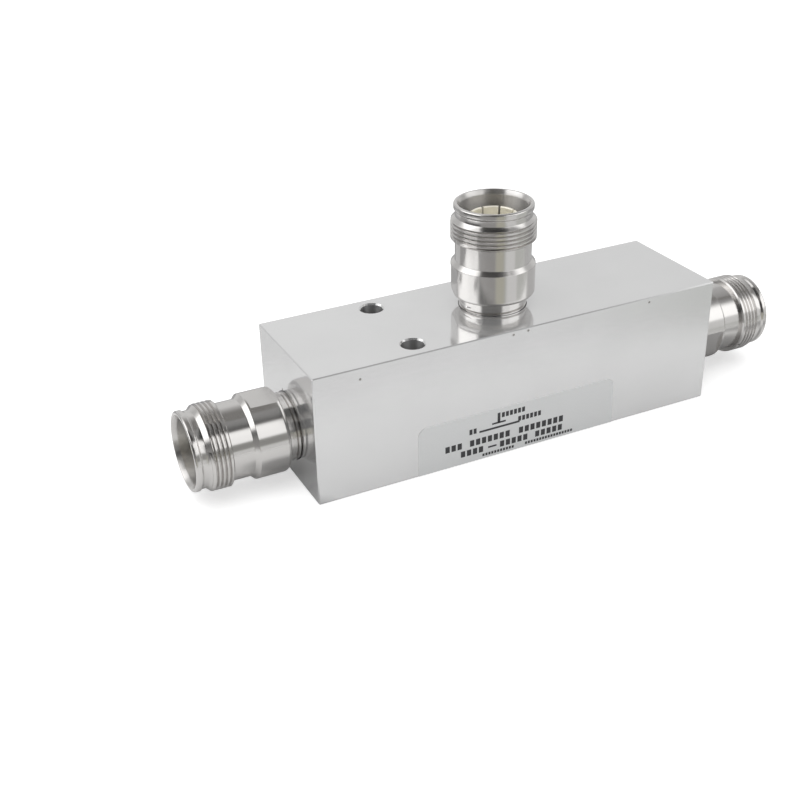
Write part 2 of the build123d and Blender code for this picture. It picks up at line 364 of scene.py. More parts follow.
def smoothed(obj, degrees=28):
    """Shades an object smooth, with its sharper edges left crisp and its flat bands even."""
    choose(obj)
    bpy.ops.object.shade_smooth_by_angle(angle=radians(degrees))
    apply_modifier(obj, "WEIGHTED_NORMAL", keep_sharp=True)
    return obj


def carved(obj, cutters):
    """Cuts the cutters out of an object and deletes them."""
    for cutter in cutters:
        apply_modifier(obj, "BOOLEAN", operation="DIFFERENCE", solver="EXACT", object=cutter)
    removed(*cutters)
    edit(obj)
    bpy.ops.mesh.remove_doubles(threshold=mm(0.0002))
    leave_edit()


def block(name, low, high, spin=0.0):
    """A box between two corners, turned about Z, for cutting."""
    low, high = Vector(low), Vector(high)
    deselect()
    bpy.ops.mesh.primitive_cube_add(size=1, location=(low + high) / 2)
    obj = bpy.context.object
    obj.name = name
    obj.scale = high - low
    bpy.ops.object.transform_apply(location=True, rotation=True, scale=True)
    obj.rotation_euler = (0, 0, spin)
    bpy.ops.object.transform_apply(location=True, rotation=True, scale=True)
    return obj


def placed(obj, matrix):
    """Moves an object by a matrix and puts its place into its mesh."""
    choose(obj)
    obj.matrix_world = matrix
    bpy.ops.object.transform_apply(location=True, rotation=True, scale=True)
    return obj


def finished(piece, material, slot, *nodes):
    """Gives a piece its material and hands it over in place of the nodes that it stands for."""
    piece.data.materials.clear()
    piece.data.materials.append(material)
    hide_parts(*nodes)
    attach(piece, BODY)


def port_matrix(name, clocked=True):
    """Frame of a port: Z leaves the bar, and the clock turns it about that axis."""
    ports = settings("ports")
    low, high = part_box("housing")
    across = Vector((0, 0, ports.line_height))
    if name == "input":
        origin, x_axis, z_axis = across + Vector((low.x, 0, 0)), Vector((0, 0, 1)), Vector((-1, 0, 0))
    elif name == "output":
        origin, x_axis, z_axis = across + Vector((high.x, 0, 0)), Vector((0, 0, 1)), Vector((1, 0, 0))
    else:
        origin, x_axis, z_axis = Vector((0, 0, high.z)), Vector((1, 0, 0)), Vector((0, 0, 1))
    y_axis = z_axis.cross(x_axis)
    turned = Matrix((x_axis, y_axis, z_axis)).transposed().to_4x4()
    clock = getattr(ports, name + "_clock") if clocked else 0.0
    return Matrix.Translation(origin) @ turned @ Matrix.Rotation(clock, 4, "Z")


def shell_heights(s):
    """Heights along a shell, from the bar's face outwards."""
    at = SimpleNamespace(collar_end=s.neck_length + s.collar_length)
    at.flat_end = at.collar_end - s.flat_ridge
    at.barrel_start = at.collar_end + s.collar_ramp
    at.thread_start = at.barrel_start + s.barrel_length
    at.thread_end = at.thread_start + s.thread_length
    at.groove_start = at.thread_end + s.thread_radius - s.barrel_radius
    at.lip_start = at.groove_start + s.groove_length
    at.rim = at.lip_start + s.lip_length
    at.mouth_floor = at.rim - s.mouth_depth
    at.seat_floor = at.mouth_floor - s.seat_depth
    return at


def add_node(tree, kind, inputs=None, **values):
    """Adds one node with its settings, and sets or links its inputs."""
    made = tree.nodes.new(kind)
    for name, value in values.items():
        setattr(made, name, value)
    for name, value in (inputs or {}).items():
        if isinstance(value, bpy.types.NodeSocket):
            tree.links.new(value, made.inputs[name])
        else:
            made.inputs[name].default_value = value
    return made


def emptied_tree(holder):
    """The node tree of a new material or world, with nothing in it."""
    holder.use_nodes = True
    holder.node_tree.nodes.clear()
    return holder.node_tree


def new_material(name, **inputs):
    """A material with one shader, whose plain inputs are given, and its node tree."""
    material = bpy.data.materials.new(name)
    tree = emptied_tree(material)
    shader = add_node(tree, "ShaderNodeBsdfPrincipled", inputs)
    add_node(tree, "ShaderNodeOutputMaterial", {"Surface": shader.outputs["BSDF"]})
    return material, tree, shader


def axis_coordinates(tree, port):
    """Distance from a port's axis and place along it, as a vector for patterns."""
    where = add_node(tree, "ShaderNodeTexCoord").outputs["Object"]
    into = port_matrix(port, clocked=False).inverted()
    local = add_node(tree, "ShaderNodeMapping", {
        "Vector": where, "Location": into.to_translation(), "Rotation": into.to_euler()})
    flat = add_node(tree, "ShaderNodeVectorMath", {
        0: local.outputs["Vector"], 1: (1, 1, 0)}, operation="MULTIPLY")
    radius = add_node(tree, "ShaderNodeVectorMath", {0: flat.outputs["Vector"]},
                      operation="LENGTH")
    split = add_node(tree, "ShaderNodeSeparateXYZ", {"Vector": local.outputs["Vector"]})
    return add_node(tree, "ShaderNodeCombineXYZ", {
        "X": radius.outputs["Value"], "Z": split.outputs["Z"]}).outputs["Vector"]


def turning_direction(tree, port):
    """Direction round a port's axis, in which its turning grooves run."""
    where = add_node(tree, "ShaderNodeTexCoord").outputs["Object"]
    matrix = port_matrix(port, clocked=False)
    axis = matrix.to_3x3() @ Vector((0, 0, 1))
    away = add_node(tree, "ShaderNodeVectorMath", {0: where, 1: matrix.to_translation()},
                    operation="SUBTRACT")
    return add_node(tree, "ShaderNodeVectorMath", {0: axis, 1: away.outputs["Vector"]},
                    operation="CROSS_PRODUCT").outputs["Vector"]


def white_bronze(port):
    """Turned brass with bright white-bronze plating: its fine grooves draw light along the axis,
    and the bored mouth is rougher, so it only glows."""
    ring_spacing = mm(0.3)           # coarser than the real 0.1 mm feed, so that it shows
    past_entry, past_floor = mm(0.05), mm(0.1)     # how far round the mouth its finish reaches
    bore_edge = mm(0.1)              # radius over which the bore's finish turns to the cone's
    material, tree, shader = new_material("white_bronze_plate_" + port, Metallic=1.0)
    shader.inputs["Base Color"].default_value = settings("finish").plating
    shader.inputs["Anisotropic Rotation"].default_value = 0.25
    tree.links.new(turning_direction(tree, port), shader.inputs["Tangent"])
    along_axis = axis_coordinates(tree, port)
    rings = add_node(tree, "ShaderNodeTexNoise", {
        "Vector": along_axis, "Scale": 1 / ring_spacing, "Detail": 3.0, "Roughness": 0.6})
    bump = add_node(tree, "ShaderNodeBump", {
        "Height": rings.outputs["Fac"], "Strength": 0.5, "Distance": mm(0.004)})
    tree.links.new(bump.outputs["Normal"], shader.inputs["Normal"])
    wear = add_node(tree, "ShaderNodeMapRange", {
        "Value": rings.outputs["Fac"], "To Min": 0.14, "To Max": 0.2})
    s = settings("shell")
    radius, _, height = add_node(tree, "ShaderNodeSeparateXYZ", {"Vector": along_axis}).outputs
    within = add_node(tree, "ShaderNodeMath", {
        0: radius, 1: s.entry_radius + past_entry}, operation="LESS_THAN")
    beyond = add_node(tree, "ShaderNodeMath", {
        0: height, 1: shell_heights(s).mouth_floor - past_floor}, operation="GREATER_THAN")
    bored = add_node(tree, "ShaderNodeMath", {
        0: within.outputs["Value"], 1: beyond.outputs["Value"]}, operation="MULTIPLY")
    coarse = add_node(tree, "ShaderNodeMapRange", {
        "Value": radius, "From Min": s.mouth_radius, "From Max": s.mouth_radius + bore_edge,
        "To Min": 0.44, "To Max": 0.28})
    finish = add_node(tree, "ShaderNodeMix", {
        "Factor": bored.outputs["Value"], "A": wear.outputs["Result"],
        "B": coarse.outputs["Result"]})
    tree.links.new(finish.outputs["Result"], shader.inputs["Roughness"])
    grain = add_node(tree, "ShaderNodeMix", {"Factor": bored.outputs["Value"], "A": 0.78, "B": 0.92})
    tree.links.new(grain.outputs["Result"], shader.inputs["Anisotropic"])
    return material


def silver_plate():
    """Silver on spring brass: pale, warm and satin, so it glows softly in the mouth."""
    material, tree, shader = new_material("satin_silver_plate", Metallic=0.4)
    shader.inputs["Base Color"].default_value = settings("finish").silver
    where = add_node(tree, "ShaderNodeTexCoord").outputs["Object"]
    tarnish = add_node(tree, "ShaderNodeTexNoise", {
        "Vector": where, "Scale": 1 / mm(1.2), "Detail": 4.0})
    spread = add_node(tree, "ShaderNodeMapRange", {
        "Value": tarnish.outputs["Fac"], "To Min": 0.28, "To Max": 0.4})
    tree.links.new(spread.outputs["Result"], shader.inputs["Roughness"])
    return material


def near_point(tree, where, place, radius, soft):
    """One within the radius of a place, fading out over its edge by a share of the radius."""
    apart = add_node(tree, "ShaderNodeVectorMath", {0: where, 1: place}, operation="DISTANCE")
    return add_node(tree, "ShaderNodeMapRange", {
        "Value": apart.outputs["Value"], "From Min": radius * (1 - soft),
        "From Max": radius * (1 + soft), "To Min": 1.0, "To Max": 0.0}).outputs["Result"]


def any_spot(tree, where, spots):
    """One in any of these spots, each a place, a radius and the softness of its edge."""
    mask = 0.0
    for place, radius, soft in spots:
        spot = near_point(tree, where, place, radius, soft)
        mask = add_node(tree, "ShaderNodeMath", {0: mask, 1: spot}, operation="MAXIMUM"
                        ).outputs["Value"]
    return mask


def mottled(tree, patch, first, second, **noise):
    """A colour that drifts between two tones, in patches of a real size."""
    where = add_node(tree, "ShaderNodeTexCoord").outputs["Object"]
    cloud = add_node(tree, "ShaderNodeTexNoise", {"Vector": where, "Scale": 1 / patch, **noise})
    return add_node(tree, "ShaderNodeMix", {
        "Factor": cloud.outputs["Fac"], "A": first, "B": second},
        data_type="RGBA").outputs["Result"]


def dent_mask(tree, where):
    """One in the dents, which are painted darker as painted shade."""
    low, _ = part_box("housing")
    dents = [(mm(along), low.y, mm(above)) for along, above in FRONT_DENTS]
    dents += [(low.x, mm(along), mm(above)) for along, above in LEFT_DENTS]
    return any_spot(tree, where, [(dent, mm(0.3), 0.2) for dent in dents])


def hole_wall(tree, where):
    """One on the walls of the two drilled mounting holes, and the direction round each wall."""
    margin, lean = 0.6, 0.3          # millimetres past the wall, and how far a wall may lean
    mount = next(m for m in frame["record"]["mounts"] if m["name"] == "mounting_holes")
    half = mm(mount["dims"]["spacing_y_mm"]) / 2
    sign = add_node(tree, "ShaderNodeVectorMath", {0: where, 1: (0, 1, 0)}, operation="MULTIPLY")
    sign = add_node(tree, "ShaderNodeVectorMath", {0: sign.outputs["Vector"]}, operation="SIGN")
    middle = add_node(tree, "ShaderNodeVectorMath", {
        0: sign.outputs["Vector"], 1: (0, half, 0), 2: (mount["pos_m"][0], 0, 0)},
        operation="MULTIPLY_ADD")
    away = add_node(tree, "ShaderNodeVectorMath", {0: where, 1: middle.outputs["Vector"]},
                    operation="SUBTRACT")
    away = add_node(tree, "ShaderNodeVectorMath", {0: away.outputs["Vector"], 1: (1, 1, 0)},
                    operation="MULTIPLY")
    inside = near_point(tree, away.outputs["Vector"], (0, 0, 0),
                        mm(mount["dims"]["hole_r_mm"] + margin), soft=0.2)
    upright = add_node(tree, "ShaderNodeTexCoord").outputs["Normal"]
    up = add_node(tree, "ShaderNodeSeparateXYZ", {"Vector": upright}).outputs["Z"]
    wall = add_node(tree, "ShaderNodeMath", {0: up, 1: 0.0, 2: lean}, operation="COMPARE")
    mask = add_node(tree, "ShaderNodeMath", {0: inside, 1: wall.outputs["Value"]},
                    operation="MULTIPLY").outputs["Value"]
    return mask, add_node(tree, "ShaderNodeVectorMath", {
        0: (0, 0, 1), 1: away.outputs["Vector"]}, operation="CROSS_PRODUCT").outputs["Vector"]


def end_mask(tree):
    """One on the bar's two end faces."""
    square_on = 0.9                  # how nearly a face points along the bar
    facing = add_node(tree, "ShaderNodeTexCoord").outputs["Normal"]
    along = add_node(tree, "ShaderNodeSeparateXYZ", {"Vector": facing}).outputs["X"]
    size_along = add_node(tree, "ShaderNodeMath", {0: along}, operation="ABSOLUTE")
    return add_node(tree, "ShaderNodeMath", {0: size_along.outputs["Value"], 1: square_on},
                    operation="GREATER_THAN").outputs["Value"]


def bright_aluminium():
    """Fly-cut aluminium with bright plating: the faces are mirrors with faint lines along the bar
    and faint smears, the two ends have one even haze, the drilled holes are rough and darker, and
    the dents are painted darker as painted shade."""
    line_length, line_width = mm(30), mm(0.35)     # fly-cut lines, wider than real to show
    smear_width = mm(14)
    finish = settings("finish")
    material, tree, shader = new_material("fly_cut_aluminium")
    where = add_node(tree, "ShaderNodeTexCoord").outputs["Object"]
    stretched = add_node(tree, "ShaderNodeMapping", {
        "Vector": where, "Scale": (1 / line_length, 1 / line_width, 1 / line_width)})
    lines = add_node(tree, "ShaderNodeTexNoise", {
        "Vector": stretched.outputs["Vector"], "Scale": 1.0, "Detail": 2.0})
    bump = add_node(tree, "ShaderNodeBump", {
        "Height": lines.outputs["Fac"], "Strength": 0.4, "Distance": mm(0.0015)})
    tree.links.new(bump.outputs["Normal"], shader.inputs["Normal"])
    smears = add_node(tree, "ShaderNodeTexNoise", {
        "Vector": where, "Scale": 1 / smear_width, "Detail": 3.0})
    roughness = add_node(tree, "ShaderNodeMapRange", {
        "Value": smears.outputs["Fac"], "To Min": 0.08, "To Max": 0.13}).outputs["Result"]
    tint = add_node(tree, "ShaderNodeMix", {
        "Factor": smears.outputs["Fac"], "A": finish.bar, "B": linear("#DEDEDE")},
        data_type="RGBA").outputs["Result"]
    dents, (holes, around) = dent_mask(tree, where), hole_wall(tree, where)
    for mask, rough in ((end_mask(tree), 0.11), (holes, 0.42), (dents, 0.6)):
        roughness = add_node(tree, "ShaderNodeMix", {"Factor": mask, "A": roughness, "B": rough}
                             ).outputs["Result"]
    # The dents' darker, less metallic colour is painted shade
    for mask, tone in ((holes, finish.drilled), (dents, finish.dent_shade)):
        tint = add_node(tree, "ShaderNodeMix", {"Factor": mask, "A": tint, "B": tone},
                        data_type="RGBA").outputs["Result"]
    grain = add_node(tree, "ShaderNodeMix", {"Factor": holes, "A": 0.0, "B": 0.95})
    metal = add_node(tree, "ShaderNodeMix", {"Factor": dents, "A": 0.8, "B": 0.3})
    shader.inputs["Anisotropic Rotation"].default_value = 0.25
    tree.links.new(around, shader.inputs["Tangent"])
    tree.links.new(grain.outputs["Result"], shader.inputs["Anisotropic"])
    tree.links.new(roughness, shader.inputs["Roughness"])
    tree.links.new(tint, shader.inputs["Base Color"])
    tree.links.new(metal.outputs["Result"], shader.inputs["Metallic"])
    return material


def satin_brass():
    """Turned brass rod with satin plating, on the conductors inside."""
    material, tree, shader = new_material("satin_plated_brass", Metallic=1.0, Roughness=0.3)
    tone = mottled(tree, mm(2), settings("finish").conductor, linear("#C9BE9C"))
    tree.links.new(tone, shader.inputs["Base Color"])
    return material


def fluoroplastic():
    """Turned white fluoroplastic: waxy, slightly see-through, so its edges look soft."""
    material, tree, shader = new_material("turned_fluoroplastic", Roughness=0.38, IOR=1.35)
    shader.inputs["Subsurface Weight"].default_value = 0.15
    shader.inputs["Subsurface Radius"].default_value = (mm(1), mm(1), mm(1))
    tone = mottled(tree, mm(1.5), settings("finish").insulator, linear("#E6E6DF"))
    tree.links.new(tone, shader.inputs["Base Color"])
    return material


def black_rubber():
    """Moulded rubber: dark and matt, a thin shadow line at each neck."""
    material, tree, shader = new_material("moulded_black_rubber", Roughness=0.75, IOR=1.5)
    shader.inputs["Base Color"].default_value = settings("finish").rubber
    where = add_node(tree, "ShaderNodeTexCoord").outputs["Object"]
    grain = add_node(tree, "ShaderNodeTexNoise", {"Vector": where, "Scale": 1 / mm(0.15)})
    bump = add_node(tree, "ShaderNodeBump", {
        "Height": grain.outputs["Fac"], "Strength": 0.4, "Distance": mm(0.01)})
    tree.links.new(bump.outputs["Normal"], shader.inputs["Normal"])
    return material


def silver_film():
    """Satin metallised polyester film: an even grey that takes only a broad soft sheen."""
    material, tree, shader = new_material("satin_polyester_film", Metallic=0.8, Roughness=0.35)
    tone = mottled(tree, mm(0.5), settings("finish").film, linear("#DADBDB"), Detail=4.0)
    tree.links.new(tone, shader.inputs["Base Color"])
    return material


def label_ink():
    """Black screen ink on the film: matt, slightly uneven in cover."""
    material, tree, shader = new_material("black_screen_ink", Roughness=0.55, IOR=1.5)
    tone = mottled(tree, mm(0.3), settings("finish").ink, linear("#3A3A3C"))
    tree.links.new(tone, shader.inputs["Base Color"])
    return material


def repainted(node, material):
    """Gives a CAD node a better material."""
    slots = frame["nodes"][node].material_slots
    for place in slots:
        place.material = material
    if not slots:
        frame["nodes"][node].data.materials.append(material)


def thread_cutter(name, crest, root, gap, root_flat, pitch, start, end, run_in=0.0, run_out=0.0):
    """A helical cutter for one thread groove, which sinks in over run_in and climbs over run_out."""
    clear = mm(0.3)
    points = [(root, -root_flat / 2), (crest, -gap / 2), (crest + clear, -gap / 2),
              (crest + clear, gap / 2), (crest, gap / 2), (root, root_flat / 2)]
    cutter = traced(name, [(r, h + start) for r, h in points])
    turns = (end - start) / pitch
    steps = ceil(SEGMENTS * turns)
    apply_modifier(
        cutter, "SCREW", axis="Z", angle=2 * pi * turns, screw_offset=end - start, iterations=1,
        steps=steps, render_steps=steps, use_merge_vertices=False, use_normal_calculate=True)
    for vertex in cutter.data.vertices:
        before = (start + run_in - vertex.co.z) / run_in if run_in else 0.0
        past = (vertex.co.z - (end - run_out)) / run_out if run_out else 0.0
        reach = Vector((vertex.co.x, vertex.co.y)).length
        lifted = 1 + max(0.0, before, past) * (crest + clear - root) / reach
        vertex.co.x *= lifted
        vertex.co.y *= lifted
    edit(cutter)
    bpy.ops.mesh.fill_holes(sides=0)
    bpy.ops.mesh.select_all(action="SELECT")
    bpy.ops.mesh.normals_make_consistent(inside=False)
    leave_edit()
    return cutter


def coupling_cutter(s, at):
    """The coupling thread's groove, from a plain ring at its rear out over the lead bevel."""
    return thread_cutter("coupling_cutter", s.thread_radius, s.thread_root, s.thread_gap,
                         s.root_flat, s.pitch, at.thread_start + s.pitch * 0.3,
                         at.thread_end + s.pitch * 1.4, run_in=s.pitch * 0.3)


def neck_cutter(s):
    """The neck's thread groove, from the seal groove up to a plain ring below the collar."""
    return thread_cutter("neck_cutter", s.neck_radius, s.neck_root, s.neck_gap, s.root_flat,
                         s.pitch, -(s.seal_top + s.seal_bottom) / 2, s.neck_thread,
                         run_out=s.pitch * 0.25)


def shell_outline(s, at):
    """The shell's closed outline as (radius, height) points, from the spigot to the rim and in."""
    outside = [
        (s.bore_radius, -s.spigot_length),
        (s.neck_radius, -s.spigot_length),
        (s.neck_radius, -s.seal_bottom),
        (s.seal_root, -s.seal_bottom),
        (s.seal_root, -s.seal_top),
        (s.neck_radius, -s.seal_top),
        (s.neck_radius, s.neck_length),
        (s.collar_radius, s.neck_length),
        (s.collar_radius, at.collar_end),
        (s.barrel_radius, at.barrel_start),
        (s.barrel_radius, at.thread_start),
        (s.thread_radius - s.thread_bevel, at.thread_start),
        (s.thread_radius, at.thread_start + s.thread_bevel),
        (s.thread_radius, at.thread_end),
        (s.barrel_radius, at.groove_start),
        (s.barrel_radius, at.lip_start),
        (s.lip_radius, at.lip_start + s.lip_taper),
        (s.lip_radius, at.rim),
    ]
    inside = [
        (s.entry_radius, at.rim),
        (s.mouth_radius, at.rim - s.entry_depth),
        (s.mouth_radius, at.mouth_floor),
        (s.seat_radius, at.mouth_floor),
        (s.seat_radius, at.seat_floor),
        (s.bore_radius, at.seat_floor),
    ]
    return outside, inside


def make_shell_model():
    """One shell in its port's frame: spun outline, two wrench flats and two thread grooves."""
    s = settings("shell")
    at = shell_heights(s)
    outside, inside = shell_outline(s, at)
    shell = traced("shell_model", outside + inside)
    round_corners(shell, [(s.collar_radius, s.neck_length)], s.collar_round, 8)
    round_corners(shell, [(s.lip_radius, at.rim)], s.lip_round, 6)
    crisp = [(s.collar_radius, at.collar_end), (s.barrel_radius, at.barrel_start),
             (s.thread_radius, at.thread_end), (s.barrel_radius, at.groove_start),
             (s.barrel_radius, at.lip_start), (s.lip_radius, at.lip_start + s.lip_taper),
             (s.entry_radius, at.rim), (s.mouth_radius, at.rim - s.entry_depth)]
    round_corners(shell, crisp, s.edge_round, 2)
    spun(shell)
    reach = s.collar_radius + PAST
    low = s.neck_length - PAST / 2
    carved(shell, [
        block("flat_cutter", (s.flat_distance, -reach, low), (reach, reach, at.flat_end)),
        block("flat_cutter", (-reach, -reach, low), (-s.flat_distance, reach, at.flat_end)),
        coupling_cutter(s, at),
        neck_cutter(s),
    ])
    return smoothed(shell)


def slot_cutters(count, width, reach, low, high):
    """Blades through the axis, each of which cuts two opposite slots."""
    return [block("slot_cutter", (-reach, -width / 2, low), (reach, width / 2, high),
                  spin=k * 2 * pi / count) for k in range(count // 2)]


def make_basket_model():
    """One spring basket in its port's frame: ring, sleeve with a contact bead, and slots."""
    s, c = settings("shell"), settings("contacts")
    at = shell_heights(s)
    base = at.mouth_floor - c.basket_base
    tip = at.rim - c.basket_recess
    bore, ring = s.bore_radius, s.seat_radius - PRESS_GAP
    outer = bore + c.basket_wall
    soft = c.basket_wall / 4
    basket = traced("basket_model", [
        (bore, base), (ring, base), (ring, at.mouth_floor), (outer, at.mouth_floor),
        (outer, tip - c.basket_bead_length), (outer + c.basket_bead, tip - c.basket_bead_length / 2),
        (outer + c.basket_bead / 2, tip - soft), (outer - soft, tip), (bore + soft, tip),
        (bore, tip - soft)])
    corners = [(outer + c.basket_bead, tip - c.basket_bead_length / 2),
               (outer + c.basket_bead / 2, tip - soft), (outer - soft, tip),
               (bore + soft, tip), (bore, tip - soft)]
    round_corners(basket, corners, TIP_ROUND, 3)
    spun(basket)
    carved(basket, slot_cutters(c.basket_slots, c.basket_slot_width, ring + PAST,
                                tip - c.basket_slot_length, tip + PAST))
    return smoothed(basket)


def make_centre_model():
    """One centre socket in its port's frame: bevelled tip, bore, slots and stem."""
    s, c = settings("shell"), settings("contacts")
    at = shell_heights(s)
    base = at.mouth_floor - c.basket_base
    tip = at.rim - c.centre_recess
    shoulder = base + c.insulator_front
    foot = at.seat_floor - c.insulator_rear - c.stem_length
    bevel = c.centre_tip_bevel
    centre = traced("centre_model", [
        (0, foot), (c.stem_radius, foot), (c.stem_radius, shoulder),
        (c.centre_radius, shoulder), (c.centre_radius, tip - bevel),
        (c.centre_radius - bevel, tip), (c.centre_bore + bevel / 2, tip),
        (c.centre_bore, tip - bevel), (c.centre_bore, tip - c.centre_bore_depth),
        (0, tip - c.centre_bore_depth)])
    corners = [(c.centre_radius, tip - bevel), (c.centre_radius - bevel, tip)]
    round_corners(centre, corners, TIP_ROUND, 3)
    spun(centre)
    carved(centre, slot_cutters(c.centre_slots, c.centre_slot_width, c.centre_radius + PAST,
                                tip - c.centre_slot_length, tip + PAST))
    return smoothed(centre)


def make_film():
    """The label's film: a thin sheet with its two upper corners rounded."""
    label = settings("label")
    low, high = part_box("label")
    film = block("label_film", (low.x, low.y + label.ink_depth, low.z), high)
    edit(film)
    near = mm(0.001)
    pick_edges(film, lambda a, b: min(a.z, b.z) > high.z - near and abs(a.x - b.x) < near)
    bpy.ops.mesh.bevel(offset=label.corner, segments=12, affect="EDGES")
    leave_edit()
    return smoothed(film)


def ink_block(start, foot, width, height):
    """One block of ink on the film, placed in millimetres from its lower left corner."""
    low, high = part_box("label")
    sunk = mm(0.01)
    corner = Vector((low.x + mm(start), low.y, low.z + mm(foot)))
    far = corner + Vector((mm(width), settings("label").ink_depth + sunk, mm(height)))
    return block("ink_block", corner, far)


def ink_row(start, foot, height, pitch, count):
    """A row of plain blocks, which only stands for a line of print."""
    row = ink_block(start, foot, settings("label").ink_share * pitch, height)
    apply_modifier(row, "ARRAY", count=count, use_relative_offset=False,
                   use_constant_offset=True, constant_offset_displace=(mm(pitch), 0, 0))
    return row


def make_print():
    """The plain print: rows of blocks, and the strokes of a simple line drawing."""
    marks = [ink_row(*row) for row in PRINT_ROWS]
    marks += [ink_block(*stroke) for stroke in PRINT_STROKES]
    choose(*marks)
    bpy.ops.object.join()
    made = bpy.context.object
    made.name = "label_print"
    made.data.name = "label_print"
    return made


class TapperOperator:
    """What the tapper's operators share."""
    bl_options = {"REGISTER", "UNDO"}


class TAPPER_OT_stage(TapperOperator, bpy.types.Operator):
    """Sets up the camera, the pale floor and the studio light"""
    bl_idname = "tapper.stage"
    bl_label = "Stage"

    def execute(self, context):
        stage_camera()
        stage_floor()
        stage_world()
        stage_lamp()
        context.scene.view_settings.view_transform = "Standard"
        return {"FINISHED"}


class TAPPER_OT_bar(TapperOperator, bpy.types.Operator):
    """Finishes the machined bar"""
    bl_idname = "tapper.bar"
    bl_label = "Bar"

    def execute(self, context):
        repainted("housing", bright_aluminium())
        return {"FINISHED"}


class TAPPER_OT_inside(TapperOperator, bpy.types.Operator):
    """Finishes the insulators, the seals and the conductors inside the bar"""
    bl_idname = "tapper.inside"
    bl_label = "Inside"

    def execute(self, context):
        plastic, rubber, brass = fluoroplastic(), black_rubber(), satin_brass()
        for port in PORTS:
            repainted(port + "_insulator", plastic)
            repainted(port + "_seal", rubber)
        for node in ("input_bead", "output_bead", "coupling_sleeve"):
            repainted(node, plastic)
        for node in ("main_conductor", "coupling_saddle", "tap_conductor"):
            repainted(node, brass)
        return {"FINISHED"}


class TAPPER_OT_shells(TapperOperator, bpy.types.Operator):
    """Models one turned shell and puts a copy on each port"""
    bl_idname = "tapper.shells"
    bl_label = "Shells"

    def execute(self, context):
        model = make_shell_model()
        for port in PORTS:
            shell = placed(copied(model, port + "_turned_shell"), port_matrix(port))
            finished(shell, white_bronze(port), "shell_plating", port + "_shell")
        removed(model)
        return {"FINISHED"}


class TAPPER_OT_contacts(TapperOperator, bpy.types.Operator):
    """Models the slotted contacts and puts a copy of each in every socket"""
    bl_idname = "tapper.contacts"
    bl_label = "Contacts"

    def execute(self, context):
        silver = silver_plate()
        basket, centre = make_basket_model(), make_centre_model()
        for port in PORTS:
            matrix = port_matrix(port, clocked=False)
            spring = placed(copied(basket, port + "_spring_basket"), matrix)
            finished(spring, silver, "contact_plating", port + "_outer_contact")
            socket = placed(copied(centre, port + "_centre_socket"), matrix)
            finished(socket, silver, "contact_plating", port + "_centre_contact")
        removed(basket, centre)
        return {"FINISHED"}


class TAPPER_OT_label(TapperOperator, bpy.types.Operator):
    """Models the label's film and its plain print"""
    bl_idname = "tapper.label"
    bl_label = "Label"

    def execute(self, context):
        finished(make_film(), silver_film(), "label_film", "label")
        finished(make_print(), label_ink(), "label_film", "label")
        return {"FINISHED"}


def stage_camera():
    """The camera, at the photograph's angle and place."""
    s = settings("stage")
    deselect()
    bpy.ops.object.camera_add(location=(s.camera_x, s.camera_y, s.camera_z))
    camera = bpy.context.object
    camera.name = "stage_camera"
    turned = (Matrix.Rotation(s.azimuth, 4, "Z") @ Matrix.Rotation(pi / 2 - s.elevation, 4, "X")
              @ Matrix.Rotation(s.roll, 4, "Z"))
    camera.rotation_euler = turned.to_euler()
    camera.data.lens = s.lens
    camera.data.sensor_width = 36
    camera.data.clip_start = 0.01
    bpy.context.scene.camera = camera


def stage_floor():
    """A wide pale table: white to the camera, shaded under the sockets in what metal mirrors, and
    gone from that further out."""
    s = settings("stage")
    near, far = mm(45), mm(75)       # the mirrored table fades out between these, from the middle
    along_bar = 0.45                 # scale along the bar, which makes that fading an oval
    glow_level = 0.5
    deselect()
    bpy.ops.mesh.primitive_plane_add(size=4, location=(0, 0, -mm(0.02)))
    floor = bpy.context.object
    floor.name = "stage_floor"
    material = bpy.data.materials.new("stage_table")
    tree = emptied_tree(material)
    where = add_node(tree, "ShaderNodeTexCoord").outputs["Object"]
    path = add_node(tree, "ShaderNodeLightPath")
    paper = add_node(tree, "ShaderNodeBsdfDiffuse", {"Color": grey(s.floor)})
    low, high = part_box("housing")
    shade = any_spot(tree, where, (
        ((low.x - mm(3), -mm(12), 0), mm(7), 0.4),
        ((high.x + mm(16), -mm(13), 0), mm(11), 0.4),
        ((high.x + mm(39), -mm(30), 0), mm(11), 0.5)))
    shaded = add_node(tree, "ShaderNodeMix", {
        "Factor": shade, "A": grey(s.floor), "B": grey(s.floor * s.socket_shade)},
        data_type="RGBA")
    dimmed = add_node(tree, "ShaderNodeBsdfDiffuse", {"Color": shaded.outputs["Result"]})
    glow = add_node(tree, "ShaderNodeEmission", {"Color": grey(1), "Strength": glow_level})
    lit = add_node(tree, "ShaderNodeAddShader", {0: paper.outputs[0], 1: glow.outputs[0]})
    clear = add_node(tree, "ShaderNodeBsdfTransparent")
    oval = add_node(tree, "ShaderNodeMapping", {"Vector": where, "Scale": (along_bar, 1, 1)})
    distance = add_node(tree, "ShaderNodeVectorMath", {0: oval.outputs["Vector"]},
                        operation="LENGTH")
    fade = add_node(tree, "ShaderNodeMapRange", {
        "Value": distance.outputs["Value"], "From Min": near, "From Max": far},
        interpolation_type="SMOOTHSTEP")
    mirrored = add_node(tree, "ShaderNodeMixShader", {
        0: fade.outputs["Result"], 1: dimmed.outputs[0], 2: clear.outputs[0]})
    for_metal = add_node(tree, "ShaderNodeMixShader", {
        0: path.outputs["Is Glossy Ray"], 1: paper.outputs[0], 2: mirrored.outputs[0]})
    seen = add_node(tree, "ShaderNodeMixShader", {
        0: path.outputs["Is Camera Ray"], 1: for_metal.outputs[0], 2: lit.outputs[0]})
    add_node(tree, "ShaderNodeOutputMaterial", {"Surface": seen.outputs[0]})
    floor.data.materials.append(material)


# Heights as sines of the elevation. The outer two lie past a sine's own ends, so that no soft
# edge of a card shows there.
NADIR, SKYLINE, ZENITH = -1.2, 0.24, 1.2

